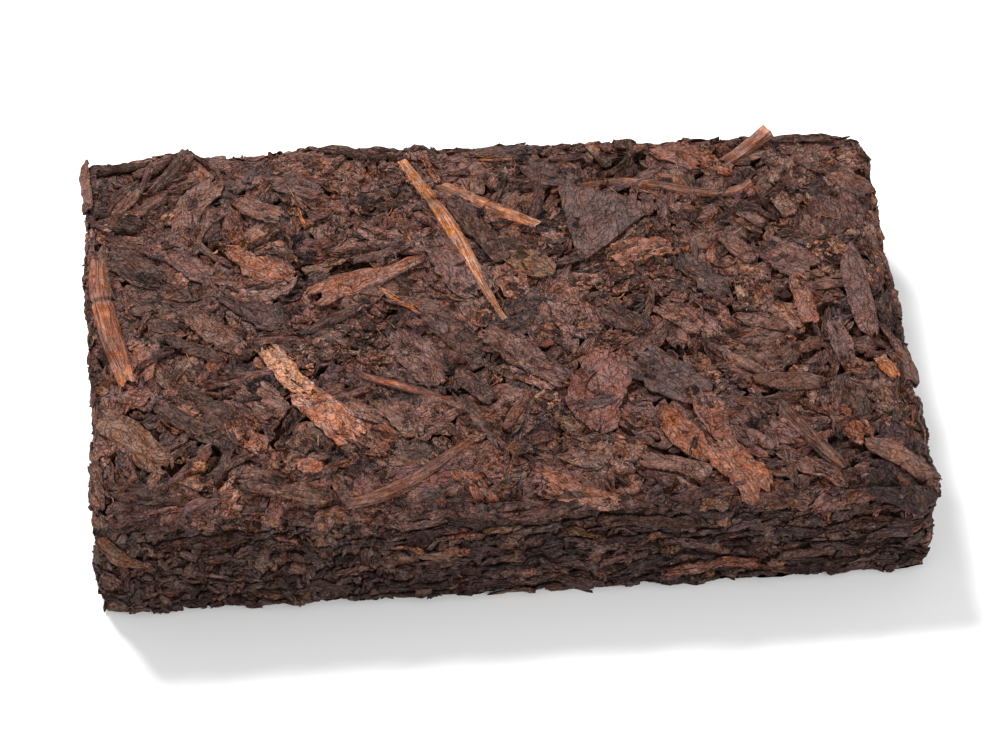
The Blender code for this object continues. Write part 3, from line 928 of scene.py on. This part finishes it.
for name, route, wood, bark in [
    ("front_rolled_leaf_roll", [(-30.5, -48, 0.2, 0.9), (-24.3, -46.2, 0.2, 1.3), (-16.7, -41.6, 0.3, 1.4),
                                (-7, -33.4, 0.3, 1)],
     (112, 74, 61), (80, 54, 48)),
    ("right_rolled_leaf_roll", [(49.6, -25.2, 0.3, 1), (53.4, -33.5, 0.4, 1.5), (59.6, -43.6, 0.2, 1.2)],
     (108, 76, 64), (80, 56, 50)),
]:
    stem(name, route, tone(*wood), tone(*bark), rolled_leaf, "rolled_leaf", facets=6)
bpy.data.objects.remove(rod)


# The leaves of the pressed face: broad leaves, brown, dark and russet, and twisted ones, which lay flat
# against the press plate. Each was steamed soft and pressed onto what lay under it, and some edges lift.

KINDS = {
    "brown_leaves": dict(tones=[(106, 75, 68), (114, 81, 73), (100, 71, 64), (122, 87, 77)], spans=(8, 20),
                         flat=(0.45, 0.8), thick=(0.3, 0.55), mesh=(14, 8), count=330),
    "dark_leaves": dict(tones=[(80, 58, 54), (90, 65, 60), (64, 47, 46)], spans=(7, 18),
                        flat=(0.45, 0.8), thick=(0.3, 0.55), mesh=(14, 8), count=230),
    "russet_leaves": dict(tones=[(130, 86, 71), (138, 96, 79), (124, 82, 69), (150, 106, 87)], spans=(4, 11),
                          flat=(0.4, 0.85), thick=(0.2, 0.45), mesh=(10, 6), count=220),
    "twisted_leaves": dict(tones=[(94, 67, 61), (78, 57, 53), (108, 77, 68)], spans=(7, 18),
                           flat=(0.12, 0.22), thick=(0.3, 0.5), mesh=(14, 6), count=260),
    "broken_leaves": dict(tones=[(98, 69, 62), (112, 80, 71), (80, 58, 53), (134, 94, 77)], spans=(1.8, 6),
                          flat=(0.4, 0.9), thick=(0.2, 0.4), mesh=(6, 4)),
}
for kind in KINDS.values():
    kind["tones"] = [tone(*card) for card in kind["tones"]]
laid = {name: [] for name in KINDS}
order = np.concatenate([[name] * kind["count"] for name, kind in KINDS.items() if "count" in kind])
rng.shuffle(order)
LAST = 120  # laid round the large leaves that lie uppermost


def lay_random(names, lifts):
    """Lays leaves of these kinds wherever the sheet is low."""
    for name, lift in zip(names, lifts):
        kind = KINDS[name]
        spot = lowest_of(top, -INNER - QUARTER - 0.5, INNER + QUARTER + 0.5, 5)
        length = rng.uniform(*kind["spans"])
        width = length * rng.uniform(*kind["flat"])
        turn = rng.uniform(0, 2 * math.pi)
        room = INNER + QUARTER - np.abs(spot)
        if min(room) < 0.5 * length:  # it lies along the edge
            turn = (0 if room[1] < room[0] else math.pi / 2) + 0.25 * rng.standard_normal()
            width = min(width, 2 * min(room) + 4)
        twisted = name == "twisted_leaves"
        laid[name].append(lay(
            top, spot, turn, length, width, rng.uniform(*kind["thick"]),
            kind["tones"][rng.integers(len(kind["tones"]))], *kind["mesh"],
            full=rng.uniform(1.8, 4), torn=0.45, tips=rng.uniform(0.1, 0.6, 2), taper=rng.uniform(-0.4, 0.4),
            bend=rng.normal(0, 0.18),
            arch=width * rng.uniform(0.1, 0.25) if twisted else rng.uniform(-0.15, 0.2),
            curl=rng.uniform(-0.1, 0.35, 2), rise=rng.uniform(-0.1, 0.5, 2) * (rng.random() < 0.3),
            ribs=rng.uniform(0.08, 0.26), waves=rng.uniform(1.5, 4), stiff=0.5,
            proud=lift + (0.25 if twisted else 0), tucked=rng.random() < 0.75))


LIFT = 0.35  # how far the upper leaves may stand over the lower ones
lay_random(["broken_leaves"] * 800, np.zeros(800))
lay_random(order[:-LAST], np.linspace(0, LIFT, len(order) - LAST))
lay_random(["broken_leaves"] * 700, np.full(700, LIFT))
large_leaves = lay_from_to(top, [
    # left end
    (-71, 33.5, -64.5, 40.5, 2.4, "dark", "folded"), (-70, 30, -63.5, 40, 3, "brown", "folded"),
    (-62.5, 35.5, -54, 50, 3.2, "dark", "folded", dict(bend=0.15)),
    (-66, 42, -57, 46, 2.6, "plum", "folded"),
    (-73, 43, -62.6, 45.3, 2.2, "dark", "folded", dict(bend=-0.3)),
    (-62, 45.5, -64, 38.5, 1.8, "plum", "folded"),
    (-54.1, 46.6, -60.7, 38.4, 2.4, "brown", "folded", dict(proud=0.4)),
    (-65, 39, -71.5, 32, 3, "dark", "folded", dict(bend=0.3)),
    (-75.3, 49.5, -74.5, 33, 3, "brown", "strip", dict(rise=(1.6, 0), proud=0.8)),
    (-74, 31, -64, 27, 6, "dark", "wrinkled"), (-59, 25, -49.5, 40.5, 8, "brown", "oval"),
    (-72, 21.5, -61, 10.5, 9, "dark", "oval"), (-60, 20, -52, 12, 7, "plum", "plate"),
    (-51, 8.5, -38.5, -2, 9, "violet", "jagged"),
    (-50.5, 22, -37, 9, 7, "orange", "jagged", dict(arch=0.3, tips=(0.1, 0.6), taper=0.35)),
    (-64, -5, -65.5, -15.5, 6, "red", "plate"), (-56, 2, -47, -9, 7, "brown", "plate"),
    (-61, -4, -50, -12, 4, "dark", "folded"), (-73.5, -21, -61, -39.5, 9, "pale", "oval", dict(arch=0.6)),
    (-62, -19, -48, -33.5, 12, "dark", "wrinkled"), (-46.5, -16.5, -41, -27.5, 8.5, "brown", "plate"),
    (-50, -27, -44, -35.5, 6, "russet", "crumbly"),
    (-37, -19, -27, -34, 9, "copper", "plate", dict(proud=0.9)),
    (-42.5, -6.5, -35.5, -22, 6.5, "tan", "plate", dict(ribs=0.15, proud=0.9)),
    (-38.5, -39.5, -33.5, -39.5, 4, "orange", "lens"),
    (-57.2, -38.8, -54.4, -38.8, 2.6, "amber", "plate"), (-72, -42, -58, -45.5, 6, "dark", "wrinkled"),
    (-50, -42, -32, -46, 6, "brown", "wrinkled"),
    (-61.5, 49.5, -53.5, 52.5, 1.8, "dark", "strip", dict(rise=(0, 1.4))),
    (-47, 33, -38, 27, 6, "brown", "plate"), (-40, 38, -30, 34, 6, "plum", "oval"),
    (-56, -20, -50, -9, 4, "red", "oval"),
    # middle
    (-33.5, 49, -15, 45.5, 6, "dark", "wrinkled"), (-20.5, 18.5, -13.5, 21.5, 5.5, "violet", "oval"),
    (-10.5, 22, -2, 5.5, 10.5, "plum", "plate", dict(taper=0.2)),
    (-34.5, 5, -11.5, 16, 6, "russet", "strip", dict(arch=0.6, tips=(0.5, 0.06), taper=-0.5, torn=0.45)),
    (-28, 2, -20, 9, 6, "brown", "oval"), (-20.5, 6, -4.5, -1, 4, "brown", "strip"),
    (-6, 32.5, 3.5, 14.5, 5, "dark", "strip"), (3.5, 18, 11.5, 9.5, 8, "olive", "oval"),
    (-19, -3, -11.5, -19, 8.5, "plum", "oval"), (-20.5, -22, -16.5, -33, 7, "brown", "oval"),
    (-13, 2, -4, -10, 7, "dark", "plate"), (-3, -4, 6, -14, 7, "brown", "oval"),
    (-8, -14, -2, -24, 5, "dark", "folded"), (-25, -31, -22, -37.5, 4, "russet", "crumbly"),
    (-1, -31, 5, -21.5, 2.4, "red", "folded"), (8, 41, 19, 34.5, 7, "violet", "oval"),
    (-2, 47, 9, 43.5, 5, "dark", "plate"), (-10.8, 45.5, -8, 36.8, 1.7, "russet", "strip"),
    (2, -8, 12, -20, 7, "plum", "plate"), (5, -46, 19, -48.8, 4.5, "russet", "strip"),
    (-10.5, -41, -3, -48.5, 5, "orange", "wrinkled"), (5, -41.5, 11.5, -46, 4, "russet", "plate"),
    (-30, -22, -22, -28, 5, "brown", "plate"),
    # right end
    (20.5, -10.5, 15, -32, 13.5, "rose", "oval", dict(bend=0.2, proud=0.9)),
    (12, -26.5, 20.5, -23, 3.2, "slate", "strip"),
    (24, -11.5, 37, -24.5, 12.5, "violet", "plate", dict(proud=0.9)),
    (35.3, -19.5, 38.7, -37, 6, "red", "oval"),
    (28.3, -26.5, 34.8, -41.3, 6.5, "orange", "lens", dict(proud=1.0)),
    (9, -37, 17, -41, 5, "brown", "plate"),
    (36, -35.5, 44.5, -49, 10.5, "orange", "plate", dict(tips=(0.3, 0.6), proud=1.0)),
    (33, 46.5, 43, 39.5, 8, "red", "plate"), (34.5, 17, 44, 1, 9, "violet", "jagged"),
    (51, 19, 60, 7.5, 9, "plum", "plate"), (44, 20, 50, 13, 4, "brown", "strip"),
    (56.8, 8, 58.2, -5.5, 4, "russet", "strip"), (46.5, 30.5, 52.6, 22.8, 5, "plum", "oval"),
    (43.5, 26.5, 56, 25.5, 2, "dark", "folded", dict(bend=-0.75)),
    (58.3, -25.8, 64.8, -37.2, 6.5, "orange", "crumbly"), (69, -14.5, 72, -20, 3.6, "amber", "plate"),
    (64, -36.5, 76, -46, 6, "brown", "folded"), (62.5, -45, 75.5, -53, 9, "ink", "plate"),
    (45, -20, 59, -21, 6, "bay", "folded", dict(full=1.9, vary=0.0)),
    (38, -10, 50.5, -20.3, 2.6, "brown", "folded"),
    (67.5, 15.5, 68.6, -10.5, 5.5, "plum", "folded", dict(bend=0.06)),
    (55.5, 29.8, 58.3, 24, 4.6, "pale", "plate"), (42.5, 43, 48.3, 36, 6, "orange", "jagged"),
    (50.5, 47.2, 69, 45.5, 3.4, "dark", "strip"), (64, 17, 67, 12.8, 3.6, "amber", "crumbly"),
    (66, 38, 74, 30, 7, "brown", "wrinkled"), (60, 40, 67, 36, 4, "brown", "jagged"),
    (23, -39, 35.5, -44.5, 5, "brown", "strip"), (44, -2, 54, -6, 5, "brown", "oval"),
    (30, 2, 38, -7, 6, "brown", "plate"), (20, 2, 28, -6, 7, "dark", "wrinkled"),
    (62, -2, 64, -18, 5, "plum", "plate"), (47, -38, 60, -47.5, 4.5, "brown", "wrinkled"),
    (22, 15.5, 36, 17.5, 9, "orange", "crumbly"),
    (17.3, 13.5, 24, 33, 12, "slate", "fan", dict(proud=0.9)),
], proud=0.75)
lay_random(order[-LAST:], np.full(LAST, 0.3))
lay_random(["russet_leaves"] * 60, np.full(60, 0.3))
lay_random(["broken_leaves"] * 300, np.full(300, LIFT))


# Crumbs and fibres: leaf rubbed fine in the places where the brick was handled, and hairs of split stalk.
# They are the last of the tea that went in, and stick where they were pressed.

crumbs, fibres = [], []
for x, y, reach_x, reach_y, colour, count in [
    (-47, -31, 3, 4, "orange", 60), (-46, 21.5, 4, 2, "amber", 45), (27, 12, 4.5, 5, "orange", 100),
    (33, 19, 4, 4, "amber", 50), (-38, -14, 3, 7, "tan", 60), (-30, -28, 4, 5, "russet", 50),
    (61.5, -31, 3, 5, "orange", 45), (11, 22, 5, 3, "tan", 40), (45, 41, 3, 3, "amber", 30),
    (40, -44, 4, 4, "amber", 30), (-3, -40, 5, 3, "orange", 35), (64, 14, 3, 3, "amber", 25),
    (48, 8, 4, 4, "olive", 35), (-66, 2, 4, 4, "russet", 25), (-22, 30, 8, 6, "russet", 30),
    (8, -30, 9, 6, "olive", 40), (0, 0, 45, 30, "brown", 150), (0, 0, 45, 30, "russet", 70),
]:
    for _ in range(count):
        spot = np.array([x, y]) + np.array([reach_x, reach_y]) * rng.standard_normal(2) * 0.6
        size = rng.uniform(0.5, 2)
        crumbs.append(lay(top, spot, rng.uniform(0, 6.28), size, size * rng.uniform(0.3, 0.7),
                          rng.uniform(0.15, 0.3),
                          TONES[rng.choice([colour, "brown", "russet", "dark"], p=[0.45, 0.2, 0.2, 0.15])],
                          lines=5, rows=4, full=4, tips=rng.uniform(0.3, 0.8, 2), torn=0.5,
                          rise=rng.uniform(0, 0.3, 2), ribs=0.08, stiff=0.3, proud=0.6))
HAIRS = 110
for _ in range(HAIRS):
    spot = -INNER + 2 * INNER * rng.random(2)
    fibres.append(lay(top, spot, rng.uniform(0, 6.28), rng.uniform(1.8, 6), rng.uniform(0.18, 0.3), 0.15,
                      TONES[rng.choice(["tan", "amber", "russet"])] * 0.7, lines=8, rows=3,
                      bend=rng.normal(0, 0.3), arch=0.06, ribs=0.02, crumple=0.03, stiff=0.6, proud=0.9))
for x0, y0, x1, y1, width in [
    (-21.5, 9, -13.5, -0.5, 1.2), (-20, 8, -14, 1.5, 0.5), (-35, 30.5, -33.8, 25, 0.8),
    (0, 42.2, 7, 42.4, 0.6), (-15, 24, -14, 20, 0.5), (13, 33, 19, 35.5, 0.6),
]:
    way = np.array([x1 - x0, y1 - y0])
    middle = np.array([x0 + x1, y0 + y1]) / 2
    fibres.append(lay(top, middle, math.atan2(way[1], way[0]), np.hypot(*way), width, 0.3, TONES["amber"],
                      lines=8, rows=3, full=4, arch=0.25, stiff=0.7, proud=0.9))
top.around = np.maximum(spread(top.level, 6), spread(top.level, 2))

LOOKS = {
    "brown_leaves": tea_material("brown_leaf", (0.8, 0.65)),
    "dark_leaves": tea_material("dark_leaf", (0.7, 0.5), warm=0.2, specks=0.2, fineness=0.8, glow=0.1),
    "russet_leaves": tea_material("russet_leaf", (0.85, 0.7), warm=0.4, specks=0.8, creases=0.5),
    "twisted_leaves": tea_material("twisted_leaf", (0.75, 0.6), cracks=0.3, fineness=1.5),
    "broken_leaves": tea_material("broken_leaf", (0.85, 0.7), warm=0.35, grit=0.65, creases=0.45,
                                  fineness=1.3),
}
for name, leaves in laid.items():
    gather(name, leaves, *KINDS[name]["mesh"], LOOKS[name], "pressed_leaf")
large_leaf = tea_material("large_leaf", (0.78, 0.6), warm=0.24, grit=0.35, specks=0.3, cracks=0.45,
                          depth=0.0005, glow=0.1)
gather("large_leaves", large_leaves, LARGE["lines"], LARGE["rows"], large_leaf, "pressed_leaf", deep=0.5)
crumb = tea_material("crumb", (0.9, 0.75), warm=0.3, grit=0.8, cracks=0, creases=0.3)
gather("crumbs", crumbs, 5, 4, crumb, "pressed_leaf", deep=0.55)
fibre = tea_material("fibre", (0.8, 0.65), warm=0.2, cracks=0, creases=0.3)
gather("fibres", fibres, 8, 3, fibre, "stem_bark", deep=0.55)


# The underside: the leaves that lay on the mould's floor. They were pressed quite flat, so that the brick
# stands on them.

def below(spots):
    """Points and outward directions of the underside, for spots as they lie when it is turned up."""
    points = np.concatenate([spots * (1, -1), np.zeros((*spots.shape[:-1], 1))], -1)
    return points, np.broadcast_to((0.0, 0.0, -1.0), points.shape)


under = Skin(below, -INNER - EDGE - 2, INNER + EDGE + 2, sunk=1, press=-0.15)
under_leaves = []
UNDER_COUNT = 900
UNDER_TONES = [*KINDS["brown_leaves"]["tones"], *KINDS["dark_leaves"]["tones"],
               *KINDS["russet_leaves"]["tones"][:2]]
for _ in range(UNDER_COUNT):
    spot = lowest_of(under, -INNER, INNER, 5)
    length = rng.uniform(3, 16)
    width = length * rng.uniform(0.35, 0.8)
    turn = rng.uniform(0, 6.28)
    span = np.array([abs(math.cos(turn)) * length + abs(math.sin(turn)) * width,
                     abs(math.sin(turn)) * length + abs(math.cos(turn)) * width]) / 2
    spot = np.clip(spot, span - INNER + 0.5, INNER - 0.5 - span)  # it ends at the wall
    under_leaves.append(lay(under, spot, turn, length, width, rng.uniform(0.12, 0.3),
                            UNDER_TONES[rng.integers(len(UNDER_TONES))], lines=8, rows=5,
                            full=rng.uniform(1.8, 4), tips=rng.uniform(0.1, 0.6, 2), torn=0.4, ribs=0.05,
                            bend=rng.normal(0, 0.05), crumple=0.03, proud=rng.uniform(-0.3, 0)))
under.around = spread(under.level, 6)
gather("underside_leaves", under_leaves, 8, 5, LOOKS["brown_leaves"], "pressed_leaf")


# The table, the light and the camera: a plain pale floor, a broad soft light from behind and the left,
# and a long lens that looks down on the front of the brick.

bpy.ops.mesh.primitive_plane_add(size=6)
floor = bpy.context.object
floor.name = "floor"
floor_finish = bpy.data.materials.new("pale_floor")
floor_finish.use_nodes = True
floor_finish.node_tree.nodes["Principled BSDF"].inputs["Base Color"].default_value = (0.9, 0.9, 0.9, 1)
floor_finish.node_tree.nodes["Principled BSDF"].inputs["Roughness"].default_value = 0.9
floor.data.materials.append(floor_finish)

world = bpy.data.worlds.new("studio")
bpy.context.scene.world = world
world.use_nodes = True
world.node_tree.nodes["Background"].inputs["Color"].default_value = (1, 1, 1, 1)
world.node_tree.nodes["Background"].inputs["Strength"].default_value = 0.51


def softbox(name, place, size, power):
    """A square lamp with a diffuser, turned to the brick."""
    lamp = bpy.data.lights.new(name, "AREA")
    lamp.size = size
    lamp.energy = power
    fitting = bpy.data.objects.new(name, lamp)
    fitting.location = place
    fitting.rotation_euler = (-Vector(place)).to_track_quat("-Z", "Y").to_euler()
    bpy.context.scene.collection.objects.link(fitting)


softbox("key", (-0.4, 0.8, 1.0), 0.4, 31.5)
softbox("fill", (0.4, -1.2, 0.6), 1.0, 19)

AZIMUTH = math.radians(-4.4)
ELEVATION = math.radians(42.92)
DISTANCE = 0.9
target = Vector((0.85, -0.91, 12)) * MM
camera_data = bpy.data.cameras.new("camera")
camera_data.lens = 174.1
camera_data.sensor_width = 36
camera = bpy.data.objects.new("camera", camera_data)
away = Vector((math.sin(AZIMUTH) * math.cos(ELEVATION), -math.cos(AZIMUTH) * math.cos(ELEVATION),
               math.sin(ELEVATION)))
camera.location = target + away * DISTANCE
camera.rotation_euler = (-away).to_track_quat("-Z", "Y").to_euler()
bpy.context.scene.collection.objects.link(camera)
bpy.context.scene.camera = camera
bpy.context.scene.view_settings.view_transform = "Standard"
